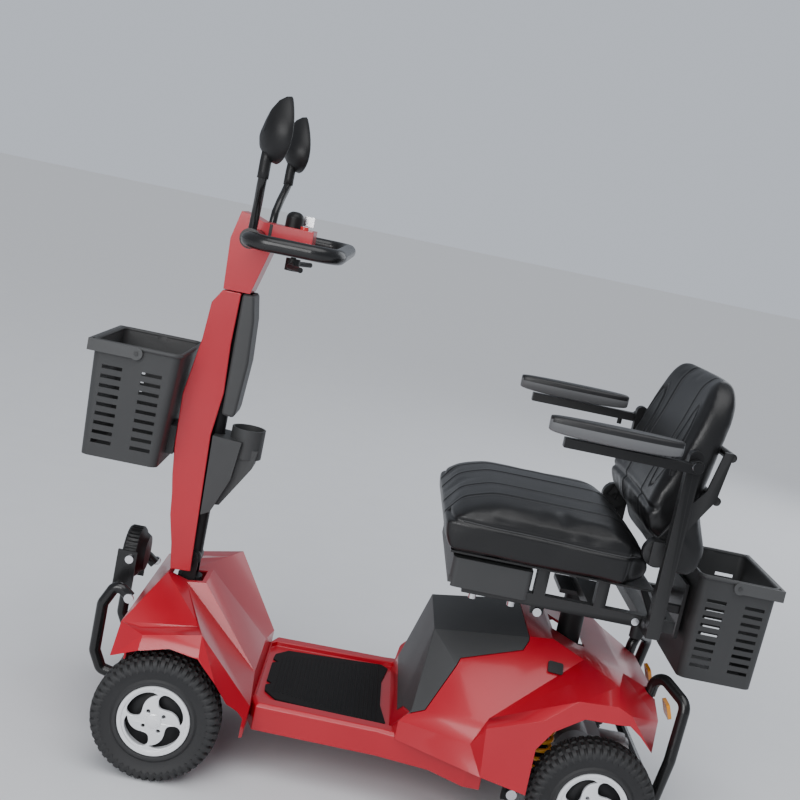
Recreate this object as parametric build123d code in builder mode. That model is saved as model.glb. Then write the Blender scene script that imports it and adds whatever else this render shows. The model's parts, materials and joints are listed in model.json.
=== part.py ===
"""Four-wheel mobility scooter. Millimetres, nose towards -X, driver's left towards -Y, ground at Z = 0.

The numbers below count X from the middle of the wheelbase. The written pieces count it from the
middle of the whole length, which lies ORIGIN_X further back.
"""

import math
import os

from build123d import *

os.makedirs("parts", exist_ok=True)

# Driving dimensions
ORIGIN_X = 18
WHEEL_R = 117
TYRE_HALF = 35
RIM_R = 66
AXLE_Z = 116
AXLE_X = 401
WHEEL_Y = 248
BORE_GAP = 0.05
FIT_GAP = 0.3
WALL = 4

KINGPIN_Y = 180
KINGPIN_R = 8
STUB_R = 10
ARM_REACH = 60
LINK_Z = {"left": 150, "right": 162}
LINK_HALF = 4
LINK_PIN_R = 5
OPEN_PIVOT_GAP = 0.4

COLUMN_X = -418
STEM_R = 16
HEAD_TUBE_Z = (200, 284)
TILT_Z = 345
TILLER_HALF = 45

PIVOT_X = 267
PIVOT_Z = 78
PIVOT_R = 8
ARM_Y = 160
SPRING_X = 304
SPRING_Y = 186
SPRING_Z = (105, 249)
SPRING_R = 17
SPRING_WIRE = 4

DECK_Z = 135
DECK_BOTTOM = 93

BAR_X = (-403, -242)
BAR_Z = 985
BAR_HALF = 222
BAR_R = 14
CONSOLE_TOP = 1015
CONTROL_X = -322
CONTROL_Y = 36

SEAT_Z = 515
RAIL_Y = 185
RAIL_Z = (438, 461)
POST_Y = (236, 256)
POST_X = (426, 451)
ARM_HINGE = (438, 762)
ARMREST_Y = 267
BACK_HINGE = (417, 590)
HINGE_R = 6

SIDES = {"left": -1, "right": 1}


def save(part, name):
    """Move one finished piece to the model's origin, label it and write it."""
    placed = part.moved(Location((-ORIGIN_X, 0, 0)))
    placed.label = name
    export_step(placed, f"parts/{name}.step")


def rod(radius, start, end, mode=Mode.ADD):
    """A round bar between two points, in the part being built."""
    axis = Vector(end) - Vector(start)
    with Locations(Plane(origin=start, z_dir=axis)):
        Cylinder(radius, axis.length, align=(Align.CENTER, Align.CENTER, Align.MIN), mode=mode)


def block(x, y, z, mode=Mode.ADD):
    """A box between pairs of limits, in the part being built."""
    with Locations(((x[0] + x[1]) / 2, (y[0] + y[1]) / 2, (z[0] + z[1]) / 2)):
        Box(abs(x[1] - x[0]), abs(y[1] - y[0]), z[1] - z[0], mode=mode)


def span(side, inner, outer):
    """The Y limits of something that lies on one side."""
    return sorted((side * inner, side * outer))


def prism(outline, y_low, y_high):
    """A plate with an outline in X and Z, between two Y limits."""
    with BuildPart() as plate:
        with BuildSketch(Plane.XZ.offset(-y_high)):
            with BuildLine():
                Polyline(*outline, close=True)
            make_face()
        extrude(amount=y_high - y_low)
    return plate.part


def faceted(points, facets, ridge):
    """A closed body with flat facets.

    points holds named corners as (x, distance from the centreline, z). The facets are given for one
    side and mirrored, and ridge is the closed loop of corners that joins the two sides.
    """
    faces = []
    for side in SIDES.values():
        corner = {name: Vector(x, side * y, z) for name, (x, y, z) in points.items()}
        for names in facets:
            first, *others = [corner[name] for name in names.split()]
            for second, third in zip(others, others[1:]):
                faces.append(Face(Wire.make_polygon([first, second, third])))
    loop = ridge.split()
    for name, following in zip(loop, loop[1:] + loop[:1]):
        (x0, y0, z0), (x1, y1, z1) = points[name], points[following]
        faces.append(Face(Wire.make_polygon([(x0, y0, z0), (x1, y1, z1), (x1, -y1, z1), (x0, -y0, z0)])))
    return Solid(Shell(faces)).fix()


def shrunk(points, middle_x, low_names):
    """The corners moved in by the wall thickness, and the low ones down, to leave an open underside."""
    inner = {}
    for name, (x, y, z) in points.items():
        drop = 60 if name in low_names.split() else WALL
        inner[name] = (x + math.copysign(WALL, middle_x - x), y - WALL, z - drop)
    return inner


def tube(path_points, bend_radius, radius):
    """A round tube bent through points."""
    with BuildPart() as bent:
        with BuildLine() as path:
            FilletPolyline(*path_points, radius=bend_radius)
        with BuildSketch(Plane(origin=path.line @ 0, z_dir=path.line % 0)):
            Circle(radius)
        sweep()
    return bent.part


# ---------------------------------------------------------------- wheels

TYRE_PROFILE = [(RIM_R + FIT_GAP, 28), (71, 33), (92, TYRE_HALF), (108, 33), (115, 26), (WHEEL_R, 12)]
HUB_R = 20
DISC_R = 58


def make_tyre(x, y):
    """A pneumatic tyre, flattened where it stands on the ground."""
    outline = [(r, -w) for r, w in TYRE_PROFILE] + [(r, w) for r, w in reversed(TYRE_PROFILE)]
    with BuildPart() as tyre:
        with BuildSketch(Plane((x, y, AXLE_Z))):
            with BuildLine():
                Polyline(*outline, close=True)
            make_face()
        revolve(axis=Axis((x, y, AXLE_Z), (0, 1, 0)))
        block((x - WHEEL_R, x + WHEEL_R), (y - WHEEL_R, y + WHEEL_R), (-WHEEL_R, 0), Mode.SUBTRACT)
    return tyre.part


def make_rim(x, side, shaft_inner):
    """A cast wheel with four swept windows; a shaft is cast in where shaft_inner is given."""
    y = side * WHEEL_Y
    face = side * 16
    windows, window_long, window_wide, sweep_angle = 39, 34, 17, 55
    with BuildPart() as rim:
        rod(RIM_R, (x, y - 29, AXLE_Z), (x, y + 29, AXLE_Z))
        rod(DISC_R, (x, y - 30, AXLE_Z), (x, y + 30, AXLE_Z), Mode.SUBTRACT)
        rod(DISC_R + 1, (x, y + face - 4, AXLE_Z), (x, y + face + 4, AXLE_Z))
        with BuildSketch(Plane((x, y + face - 10, AXLE_Z), x_dir=(1, 0, 0), z_dir=(0, 1, 0))):
            with PolarLocations(windows, 4):
                SlotOverall(window_long, window_wide, rotation=sweep_angle)
        extrude(amount=20, mode=Mode.SUBTRACT)
        rod(HUB_R, (x, y - side * 28, AXLE_Z), (x, y + side * 31, AXLE_Z))
        if shaft_inner:
            rod(STUB_R, (x, y, AXLE_Z), (x, side * shaft_inner, AXLE_Z))
        else:
            rod(STUB_R + BORE_GAP, (x, y - side * 29, AXLE_Z), (x, y + side * 24, AXLE_Z), Mode.SUBTRACT)
    return rim.part


SHAFT_INNER = 62
for side_name, side in SIDES.items():
    for end_name, end_x, shaft in (("front", -AXLE_X, 0), ("rear", AXLE_X, SHAFT_INNER)):
        save(make_tyre(end_x, side * WHEEL_Y), f"tyre_{end_name}_{side_name}")
        save(make_rim(end_x, side, shaft), f"rim_{end_name}_{side_name}")

# ---------------------------------------------------------------- chassis frame

RAIL_SPREAD = 55
FRAME_TOP = (252, 276)
REAR_TUBE_Y = 130
SEAT_POST_X = 343
SEAT_POST_R = 24
SEAT_PLATE_Z = 431.7

with BuildPart() as chassis_frame:
    # front axle beam with a yoke and kingpin at each end
    block((-419, -383), (-158, 158), (104, 130))
    for side in SIDES.values():
        block((-419, -383), span(side, 146, 158), (84, 148))
        for z in (84, 140):
            block((-419, -383), span(side, 146, 197), (z, z + 8))
        kingpin_y = side * KINGPIN_Y
        rod(KINGPIN_R, (-AXLE_X, kingpin_y, 84), (-AXLE_X, kingpin_y, 148))
    # head tube on an upright in front of the steering arm
    block((-490, -400), (-22, 22), (104, 130))
    block((-474, -456), (-22, 22), (104, HEAD_TUBE_Z[1]))
    block((-458, COLUMN_X), (-9, 9), HEAD_TUBE_Z)
    rod(STEM_R + 8, (COLUMN_X, 0, HEAD_TUBE_Z[0]), (COLUMN_X, 0, HEAD_TUBE_Z[1]))
    rod(STEM_R + BORE_GAP, (COLUMN_X, 0, 195), (COLUMN_X, 0, 295), Mode.SUBTRACT)
    # floor rails and rear cross member with the swing-arm brackets
    for side in SIDES.values():
        block((-395, 262), span(side, RAIL_SPREAD - 14, RAIL_SPREAD + 14), (98, 128))
        block((250, 278), span(side, 190, 198), (62, 128))
        block((226, 250), span(side, REAR_TUBE_Y - 12, REAR_TUBE_Y + 12), (98, FRAME_TOP[1]))
        block((226, 480), span(side, REAR_TUBE_Y - 10, REAR_TUBE_Y + 10), FRAME_TOP)
        block((SPRING_X - 22, SPRING_X + 22), span(side, REAR_TUBE_Y, SPRING_Y + 20), (252, 257))
    block((226, 262), (-198, 198), (98, 128))
    # seat post on its cross member
    block((SEAT_POST_X - 30, SEAT_POST_X + 30), (-REAR_TUBE_Y, REAR_TUBE_Y), FRAME_TOP)
    rod(SEAT_POST_R, (SEAT_POST_X, 0, FRAME_TOP[1]), (SEAT_POST_X, 0, SEAT_PLATE_Z))
    block((226, 242), (-REAR_TUBE_Y, REAR_TUBE_Y), FRAME_TOP)
    rod(PIVOT_R, (PIVOT_X, -204, PIVOT_Z), (PIVOT_X, 204, PIVOT_Z))
save(chassis_frame.part, "chassis_frame")

# ---------------------------------------------------------------- steering

PITMAN_Z = (170, 182)
KNUCKLE_ARM_Z = (122, 134)

with BuildPart() as steering_stem:
    rod(STEM_R, (COLUMN_X, 0, PITMAN_Z[0]), (COLUMN_X, 0, 306))
    rod(STEM_R + 6, (COLUMN_X, 0, PITMAN_Z[0]), (COLUMN_X, 0, PITMAN_Z[1]))
    block((COLUMN_X, COLUMN_X + ARM_REACH), (-9, 9), PITMAN_Z)
    rod(9, (COLUMN_X + ARM_REACH, 0, PITMAN_Z[0]), (COLUMN_X + ARM_REACH, 0, PITMAN_Z[1]))
    rod(LINK_PIN_R, (COLUMN_X + ARM_REACH, 0, 143), (COLUMN_X + ARM_REACH, 0, PITMAN_Z[0]))
    # clevis for the tilt hinge
    rod(STEM_R + 8, (COLUMN_X, 0, 292), (COLUMN_X, 0, 306))
    for side in SIDES.values():
        block((COLUMN_X - 13, COLUMN_X + 13), span(side, 18, 24), (300, TILT_Z))
        rod(13, (COLUMN_X, side * 18, TILT_Z), (COLUMN_X, side * 24, TILT_Z))
    rod(HINGE_R, (COLUMN_X, -27, TILT_Z), (COLUMN_X, 27, TILT_Z))
save(steering_stem.part, "steering_stem")


def make_knuckle(side_name):
    """Steering knuckle with its stub axle, steering arm and link stud."""
    y = SIDES[side_name] * KINGPIN_Y
    with BuildPart() as knuckle:
        rod(15, (-AXLE_X, y, 93), (-AXLE_X, y, 139))
        rod(STUB_R, (-AXLE_X, y, AXLE_Z), (-AXLE_X, SIDES[side_name] * 270, AXLE_Z))
        rod(18, (-AXLE_X, SIDES[side_name] * 206, AXLE_Z), (-AXLE_X, SIDES[side_name] * 211, AXLE_Z))
        block((-AXLE_X, -AXLE_X + ARM_REACH), (y - 7, y + 7), KNUCKLE_ARM_Z)
        rod(9, (-AXLE_X + ARM_REACH, y, KNUCKLE_ARM_Z[0]), (-AXLE_X + ARM_REACH, y, KNUCKLE_ARM_Z[1]))
        stud_top = LINK_Z[side_name] + LINK_HALF + 2
        rod(LINK_PIN_R, (-AXLE_X + ARM_REACH, y, KNUCKLE_ARM_Z[1]), (-AXLE_X + ARM_REACH, y, stud_top))
        rod(KINGPIN_R + BORE_GAP, (-AXLE_X, y, 90), (-AXLE_X, y, 142), Mode.SUBTRACT)
    return knuckle.part


def make_tie_rod(side_name):
    """Track rod from the drop arm's pin to the knuckle's stud, with an open eye at the stud."""
    z = LINK_Z[side_name]
    inner = (COLUMN_X + ARM_REACH, 0, z)
    outer = (-AXLE_X + ARM_REACH, SIDES[side_name] * KINGPIN_Y, z)
    with BuildPart() as link:
        rod(LINK_HALF - 0.5, inner, outer)
        for x, y, _ in (inner, outer):
            rod(10, (x, y, z - LINK_HALF), (x, y, z + LINK_HALF))
        for (x, y, _), gap in ((inner, BORE_GAP), (outer, OPEN_PIVOT_GAP)):
            rod(LINK_PIN_R + gap, (x, y, z - 8), (x, y, z + 8), Mode.SUBTRACT)
    return link.part


for side_name in SIDES:
    save(make_knuckle(side_name), f"steering_knuckle_{side_name}")
    save(make_tie_rod(side_name), f"tie_rod_{side_name}")

# ---------------------------------------------------------------- rear drive on its swing arm

AXLE_TUBE_R = 23

with BuildPart() as swing_arm:
    rod(14, (PIVOT_X, -188, PIVOT_Z), (PIVOT_X, 188, PIVOT_Z))
    for side in SIDES.values():
        add(prism(
            [(PIVOT_X, 66), (AXLE_X, 96), (AXLE_X, 130), (PIVOT_X, 90)],
            *span(side, ARM_Y - 9, ARM_Y + 9),
        ))
        rod(32, (AXLE_X, side * (ARM_Y - 9), AXLE_Z), (AXLE_X, side * (ARM_Y + 9), AXLE_Z))
        block((SPRING_X - 20, SPRING_X + 22), span(side, ARM_Y - 9, SPRING_Y + 20), (98, SPRING_Z[0] - 1))
    rod(AXLE_TUBE_R + FIT_GAP, (AXLE_X, -200, AXLE_Z), (AXLE_X, 200, AXLE_Z), Mode.SUBTRACT)
    rod(PIVOT_R + BORE_GAP, (PIVOT_X, -200, PIVOT_Z), (PIVOT_X, 200, PIVOT_Z), Mode.SUBTRACT)
save(swing_arm.part, "swing_arm")

with BuildPart() as transaxle:
    rod(AXLE_TUBE_R, (AXLE_X, -205, AXLE_Z), (AXLE_X, 205, AXLE_Z))
    rod(44, (AXLE_X, -42, AXLE_Z), (AXLE_X, 42, AXLE_Z))
    block((AXLE_X, 446), (-42, 42), (AXLE_Z - 40, AXLE_Z + 40))
    rod(STUB_R + BORE_GAP, (AXLE_X, -210, AXLE_Z), (AXLE_X, -SHAFT_INNER + 2, AXLE_Z), Mode.SUBTRACT)
    rod(STUB_R + BORE_GAP, (AXLE_X, 210, AXLE_Z), (AXLE_X, SHAFT_INNER - 2, AXLE_Z), Mode.SUBTRACT)
save(transaxle.part, "transaxle")

with BuildPart() as drive_motor:
    rod(38, (446.5, 0, AXLE_Z), (503, 0, AXLE_Z))
    rod(30, (503, 0, AXLE_Z), (511, 0, AXLE_Z))
save(drive_motor.part, "drive_motor")

with BuildPart() as rear_springs:
    for side in SIDES.values():
        low = (SPRING_X, side * SPRING_Y, SPRING_Z[0] + SPRING_WIRE)
        with BuildLine() as coil:
            Helix(pitch=19, height=SPRING_Z[1] - SPRING_Z[0] - 2 * SPRING_WIRE, radius=SPRING_R, center=low)
        with BuildSketch(Plane(origin=coil.line @ 0, z_dir=coil.line % 0)):
            Circle(SPRING_WIRE - 0.5)
        sweep(path=coil.line, is_frenet=True)
save(rear_springs.part, "rear_springs")

# ---------------------------------------------------------------- floor

SILL_Z = 146
DECK_OUTLINE = [(-243, 150), (-232, 183), (4, 190), (104, 206), (168, 246), (200, 246)]
RECESS_OUTLINE = [(-238, 137), (-228, 150), (13, 160), (104, 180), (200, 180)]
MAT_OUTLINE = [
    (-226, 0), (-226, 46), (-214, 58), (-226, 70), (-224, 96), (-200, 128), (0, 154), (14, 138), (2, 60), (2, 0),
]


def closed_plan(points):
    """Both halves of an outline given on one side of the centreline."""
    return points + [(x, -y) for x, y in reversed(points) if y > 0]


with BuildPart() as floor_pan:
    with BuildSketch(Plane.XY.offset(DECK_BOTTOM)):
        with BuildLine():
            Polyline(*closed_plan(DECK_OUTLINE), close=True)
        make_face()
    extrude(amount=SILL_Z - DECK_BOTTOM)
    chamfer(floor_pan.faces().sort_by(Axis.Z)[-1].edges(), 6)
    with BuildSketch(Plane.XY.offset(DECK_Z)):
        with BuildLine():
            Polyline(*closed_plan(RECESS_OUTLINE), close=True)
        make_face()
    extrude(amount=20, mode=Mode.SUBTRACT)
    with BuildSketch(Plane.XY.offset(DECK_BOTTOM)):
        with BuildLine():
            Polyline(*closed_plan(DECK_OUTLINE), close=True)
        make_face()
        offset(amount=-8, mode=Mode.REPLACE)
    extrude(amount=DECK_Z - DECK_BOTTOM - WALL, mode=Mode.SUBTRACT)
    block((-260, 260), (-75, 75), (80, DECK_Z - WALL), Mode.SUBTRACT)
save(floor_pan.part, "floor_pan")

with BuildPart() as foot_mat:
    with BuildSketch(Plane.XY.offset(DECK_Z + FIT_GAP)):
        with BuildLine():
            Polyline(*closed_plan(MAT_OUTLINE), close=True)
        make_face()
    extrude(amount=3.5)
save(foot_mat.part, "foot_mat")

# ---------------------------------------------------------------- front shroud

SHROUD = {
    # collar round the tiller, and the slope down to the deck
    "collar_front": (-456, 45, 315), "collar": (-416, 45, 303), "collar_rear": (-379, 45, 308),
    "slope": (-250, 92, 168), "foot": (-241, 137, 136), "foot_low": (-241, 137, 112),
    # hood and the ledge beside it
    "nose_top": (-498, 220, 266), "nose": (-499, 270, 215), "nose_low": (-499, 270, 100),
    "hood_front": (-460, 225, 265), "hood_rear": (-357, 225, 287),
    # fender, and the strip behind the arch
    "fender_front": (-448, 270, 268), "fender_rear": (-345, 270, 289),
    "side_front": (-449, 284, 244), "side_rear": (-342, 284, 252),
    "strip_top": (-241, 205, 148), "strip_end": (-243, 240, 118), "arch_rear": (-290, 284, 178),
    "low_end": (-243, 236, 100), "low_arch": (-290, 284, 100),
    "low_front": (-449, 284, 100),
}
SHROUD_FACETS = [
    "hood_rear collar collar_front nose_top hood_front",
    "hood_front hood_rear fender_rear fender_front",
    "fender_front fender_rear side_rear side_front",
    "fender_front side_front nose nose_top hood_front",
    "collar collar_rear slope",
    "collar slope strip_top fender_rear hood_rear",
    "fender_rear strip_top strip_end arch_rear side_rear",
    "strip_top slope foot",
    "strip_top foot foot_low low_end strip_end",
    "strip_end low_end low_arch arch_rear",
    "side_rear arch_rear low_arch low_front side_front",
    "side_front low_front nose_low nose",
    "foot_low nose_low low_front low_arch low_end",
]
SHROUD_RIDGE = "collar_front collar collar_rear slope foot foot_low nose_low nose nose_top"
FRONT_ARCH = [
    (-540, 40), (-506, 214), (-450, 243), (-396, 256), (-343, 249), (-305, 208), (-280, 170), (-259, 148),
    (-248.5, 134), (-248.5, 40),
]
NOSE_CUT = [(-540, 40), (-506, 214), (-450, 243), (-440, 244), (-440, 40)]
STEER_CLEAR = 3
STEER_TURNS = (-25, -17, -8, 0, 8, 17, 25)


def steered_wheel(side, turn):
    """The room a front tyre takes when it is turned about its kingpin."""
    grown = [(r + STEER_CLEAR, w + STEER_CLEAR) for r, w in TYRE_PROFILE]
    outline = [(r, -w) for r, w in grown] + [(r, w) for r, w in reversed(grown)]
    wheel_y = side * (WHEEL_Y - KINGPIN_Y)
    with BuildPart() as room:
        with BuildSketch(Plane((0, wheel_y, 0))):
            with BuildLine():
                Polyline(*outline, close=True)
            make_face()
        revolve(axis=Axis((0, wheel_y, 0), (0, 1, 0)))
    return Pos(-AXLE_X, side * KINGPIN_Y, AXLE_Z) * Rot(0, 0, turn) * room.part


with BuildPart() as front_shroud:
    add(faceted(SHROUD, SHROUD_FACETS, SHROUD_RIDGE))
    for side in SIDES.values():
        add(prism(FRONT_ARCH, *span(side, 208, 300)), mode=Mode.SUBTRACT)
        add(prism(NOSE_CUT, *span(side, 122, 300)), mode=Mode.SUBTRACT)
    inner = shrunk(SHROUD, COLUMN_X, "foot_low nose_low low_end low_arch low_front")
    add(faceted(inner, SHROUD_FACETS, SHROUD_RIDGE), mode=Mode.SUBTRACT)
    for side in SIDES.values():
        for turn in STEER_TURNS:
            add(steered_wheel(side, turn), mode=Mode.SUBTRACT)
    # opening for the stem inside the collar, and clearance for the floor and the bumper bracket
    block((-448, -388), (-34, 34), (250, 360), Mode.SUBTRACT)
    add(floor_pan.part, mode=Mode.SUBTRACT)
    block((-262, -225), (-75, 75), (60, DECK_Z), Mode.SUBTRACT)
    block((-510, -485), (-24, 24), (90, 132), Mode.SUBTRACT)
# slivers cut free by the wheel clearance are left out
save(front_shroud.part.solids().sort_by(SortBy.VOLUME)[-1], "front_shroud")

# ---------------------------------------------------------------- rear body and battery cover

REAR_SHELL = {
    # flat top, from the front of the battery cover to the tail
    "top_front": (70, 105, 330), "top_split": (254, 116, 355), "top_peak": (294, 118, 360),
    "top_fall": (358, 125, 334), "top_rear": (436, 130, 325), "tail_top": (510, 100, 289),
    "tail_back": (515, 100, 224), "tail_low": (515, 100, 120),
    "front_foot": (22, 150, 137), "front_low": (22, 150, 120),
    # side facet and the crease under it
    "side_front": (53, 195, 197), "crease_front": (188, 250, 234), "crease": (322, 212, 311),
    "crease_peak": (341, 212, 315), "crease_rear": (414, 215, 328),
    # fender
    "fender_front": (280, 284, 263), "fender": (333, 284, 311), "fender_rear": (403, 284, 315),
    "fender_end": (432, 280, 301), "tail_side": (505, 190, 269), "tail_tip": (488, 255, 231),
    "tip_low": (488, 255, 120), "end_low": (432, 286, 120), "rear_low": (403, 288, 120),
    "arch_low": (333, 288, 120), "skirt_rear": (280, 288, 120),
    # step beside the deck and the panel ahead of the wheel
    "step_front": (33, 198, 174), "step_low": (33, 198, 137), "step_rear": (165, 250, 179),
    "skirt_top": (184, 272, 222), "skirt_front": (190, 287, 137),
}
REAR_FACETS = [
    "crease_front side_front top_front top_split top_peak top_fall crease_peak crease",
    "top_fall top_rear crease_rear crease_peak",
    "crease_front crease fender fender_front",
    "fender crease crease_peak crease_rear fender_rear",
    "top_rear crease_rear fender_end tail_side tail_top",
    "crease_rear fender_rear fender_end",
    "fender_end tail_tip tail_side",
    "tail_back tail_top tail_side tail_tip",
    "crease_front fender_front skirt_top",
    "crease_front skirt_top step_rear step_front side_front",
    "front_foot top_front side_front step_front step_low front_low",
    "step_rear skirt_top skirt_front",
    "step_rear skirt_front step_low step_front",
    "skirt_top fender_front skirt_rear skirt_front",
    "fender_front fender arch_low skirt_rear",
    "fender fender_rear rear_low arch_low",
    "fender_rear fender_end end_low rear_low",
    "fender_end tail_tip tip_low end_low",
    "tail_tip tail_back tail_low tip_low",
    "front_low step_low skirt_front skirt_rear arch_low rear_low end_low tip_low tail_low",
]
REAR_RIDGE = (
    "top_front top_split top_peak top_fall top_rear tail_top tail_back tail_low front_low front_foot"
)
REAR_LOW = "tail_low front_low tip_low end_low rear_low arch_low skirt_rear step_low skirt_front front_foot"
SPLIT_LINE = [(10, 130), (40, 185), (77, 205), (126, 299), (240, 333), (250, 348), (250, 460), (10, 460)]
COVER_GAP = 1
REAR_ARCH = [
    (276, 60), (276, 208), (300, 246), (350, 281), (432, 283), (458, 262), (488, 231), (545, 196), (545, 60),
]
REAR_CUT = [(300, 60), (300, 214), (545, 222), (545, 60)]


def make_rear_shell(margin, mode):
    """The rear moulding, with the region of the battery cover removed or kept."""
    with BuildPart() as shell:
        add(faceted(REAR_SHELL, REAR_FACETS, REAR_RIDGE))
        add(faceted(shrunk(REAR_SHELL, PIVOT_X, REAR_LOW), REAR_FACETS, REAR_RIDGE), mode=Mode.SUBTRACT)
        for side in SIDES.values():
            add(prism(REAR_ARCH, *span(side, 150, 300)), mode=Mode.SUBTRACT)
        add(prism(REAR_CUT, -300, 300), mode=Mode.SUBTRACT)
        # the moulding stands on the floor pan and clears the floor rails
        add(floor_pan.part, mode=Mode.SUBTRACT)
        block((-10, 270), (-205, 205), (60, DECK_Z), Mode.SUBTRACT)
        add(prism([(x - margin, z + margin) for x, z in SPLIT_LINE], -300, 300), mode=mode)
    return shell.part


with BuildPart() as rear_body:
    add(make_rear_shell(0, Mode.SUBTRACT))
    # slot round the seat post, and holes for the bumper tubes
    block((302, 372), (-44, 44), (300, 400), Mode.SUBTRACT)
    for side in SIDES.values():
        rod(13, (500, side * 111, 270), (500, side * 111, 330), Mode.SUBTRACT)
save(rear_body.part, "rear_body")

with BuildPart() as battery_cover:
    add(make_rear_shell(COVER_GAP, Mode.INTERSECT))
save(battery_cover.part, "battery_cover")

BATTERY_Z = (DECK_Z + 1, DECK_Z + 101)
with BuildPart() as batteries:
    for side in SIDES.values():
        block((84, 222), span(side, 4, 103), BATTERY_Z)
        for post_x in (100, 206):
            rod(7, (post_x, side * 54, BATTERY_Z[1]), (post_x, side * 54, BATTERY_Z[1] + 10))
save(batteries.part, "batteries")

with BuildPart() as motor_controller:
    block((118, 200), (-36, 36), (BATTERY_Z[1] + 1, BATTERY_Z[1] + 51))
save(motor_controller.part, "motor_controller")

FLAP_CENTRE = (302, -154, 316)
FLAP_NORMAL = Vector(0.177, -0.750, 0.637).normalized()
FLAP_ALONG = Vector(1, 0, 0) - FLAP_NORMAL * FLAP_NORMAL.X
FLAP_PLANE = Plane(FLAP_CENTRE, x_dir=FLAP_ALONG.normalized(), z_dir=FLAP_NORMAL)
with BuildPart() as charge_port_flap:
    with BuildSketch(FLAP_PLANE.offset(2.8)):
        RectangleRounded(30, 22, 4)
    extrude(amount=3)
save(charge_port_flap.part, "charge_port_flap")

# ---------------------------------------------------------------- bumpers and lights

FRONT_HOOP = [(-508, 274), (-536, 296), (-557, 252), (-557, 158), (-540, 124), (-508, 117)]
REAR_HOOP = [(500, 111, 288), (506, 111, 336), (551, 180, 306), (541, 199, 200), (528, 200, 117)]

with BuildPart() as front_bumper:
    for side in SIDES.values():
        add(tube([(x, side * 112, z) for x, z in FRONT_HOOP], 14, 11))
    rod(9, (-508, -112, 117), (-508, 112, 117))
    rod(8, (-548, -112, 266), (-548, 112, 266))
    block((-508, -491), (-20, 20), (108, 126))
    # bracket arms for the headlight
    for side in SIDES.values():
        block((-556, -518), span(side, 54, 59), (262, 345))
save(front_bumper.part, "front_bumper")

LIGHT_Z = 330
with BuildPart() as headlight_housing:
    rod(50, (-549, 0, LIGHT_Z), (-520, 0, LIGHT_Z))
    rod(40, (-520, 0, LIGHT_Z), (-507, 0, LIGHT_Z))
    rod(43, (-550, 0, LIGHT_Z), (-538, 0, LIGHT_Z), Mode.SUBTRACT)
save(headlight_housing.part, "headlight_housing")

with BuildPart() as headlight_lens:
    rod(42, (-547, 0, LIGHT_Z), (-540, 0, LIGHT_Z))
save(headlight_lens.part, "headlight_lens")

with BuildPart() as rear_bumper:
    for side in SIDES.values():
        add(tube([(x, side * y, z) for x, y, z in REAR_HOOP], 24, 11))
    rod(11, (528, -200, 117), (528, 200, 117))
save(rear_bumper.part, "rear_bumper")

with BuildPart() as tail_lamps:
    for side in SIDES.values():
        lamp_plane = Plane((541.5, side * 92, 258), x_dir=(0, 1, 0), z_dir=(0.942, 0, 0.335))
        with BuildSketch(lamp_plane):
            RectangleRounded(44, 30, 6)
        extrude(amount=7)
save(tail_lamps.part, "tail_lamps")

# ---------------------------------------------------------------- tiller

TILLER_FRONT = [
    (-453, 322), (-460, 373), (-472, 428), (-476, 470), (-482, 508), (-488, 571), (-490, 667), (-472, 778),
    (-467, 849), (-450, 876),
]
TILLER_REAR = [(-415, 876), (-417, 777), (-413, 683), (-423, 597), (-417, 452), (-414, 324)]
PAD_OUTLINE = [(-411, 640), (-387, 638), (-384, 653), (-378, 746), (-382, 828), (-390, 876), (-413, 876)]
BIN_OUTLINE = [(-419, 598), (-362, 595), (-370, 520), (-398, 449), (-415, 440)]
CUP_FOOT = [(-380, 580), (-330, 580), (-335, 545), (-385, 462), (-400, 460)]
CUP_X = -357
CUP_R = 33
CUP_TOP = 618
HEAD_OUTLINE = [
    (-450, 878), (-454, 974), (-442, 1027), (-420, 1023), (-398, CONSOLE_TOP), (-303, CONSOLE_TOP),
    (-303, 982), (-368, 980), (-377, 959), (-399, 878),
]

with BuildPart() as tiller_tube:
    rod(STEM_R, (COLUMN_X, 0, TILT_Z), (COLUMN_X, 0, 930))
    rod(17, (COLUMN_X, -17, TILT_Z), (COLUMN_X, 17, TILT_Z))
    rod(HINGE_R + BORE_GAP, (COLUMN_X, -30, TILT_Z), (COLUMN_X, 30, TILT_Z), Mode.SUBTRACT)
save(tiller_tube.part, "tiller_tube")

with BuildPart() as tiller_shell:
    add(prism(TILLER_FRONT + TILLER_REAR, -TILLER_HALF, TILLER_HALF))
    hollow = [(x + WALL, z) for x, z in TILLER_FRONT]
    hollow[0] = (TILLER_FRONT[0][0] + WALL, 300)
    hollow[-1] = (TILLER_FRONT[-1][0] + WALL, TILLER_FRONT[-1][1] - WALL)
    hollow += [(-390, 872), (-390, 300)]
    add(prism(hollow, -TILLER_HALF + WALL, TILLER_HALF - WALL), mode=Mode.SUBTRACT)
    rod(STEM_R + 1, (COLUMN_X, 0, 860), (COLUMN_X, 0, 880), Mode.SUBTRACT)
save(tiller_shell.part, "tiller_shell")

with BuildPart() as tiller_pad:
    add(prism(PAD_OUTLINE, -42, 42))
    block((-430, -398), (-30, 30), (630, 890), Mode.SUBTRACT)
    add(prism([(x + 1, z) for x, z in TILLER_REAR] + [(-440, 324), (-440, 890)], -60, 60), mode=Mode.SUBTRACT)
save(tiller_pad.part, "tiller_pad")

with BuildPart() as cup_holder:
    add(prism(BIN_OUTLINE, -TILLER_HALF, TILLER_HALF))
    add(prism(CUP_FOOT, -CUP_R + 4, CUP_R - 4))
    rod(CUP_R, (CUP_X, 0, 560), (CUP_X, 0, CUP_TOP))
    rod(CUP_R - WALL, (CUP_X, 0, 565), (CUP_X, 0, CUP_TOP + 1), Mode.SUBTRACT)
    rod(STEM_R + 1, (COLUMN_X, 0, 430), (COLUMN_X, 0, 640), Mode.SUBTRACT)
    add(prism([(x + 1, z) for x, z in TILLER_REAR] + [(-440, 324), (-440, 890)], -60, 60), mode=Mode.SUBTRACT)
save(cup_holder.part, "cup_holder")

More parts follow.
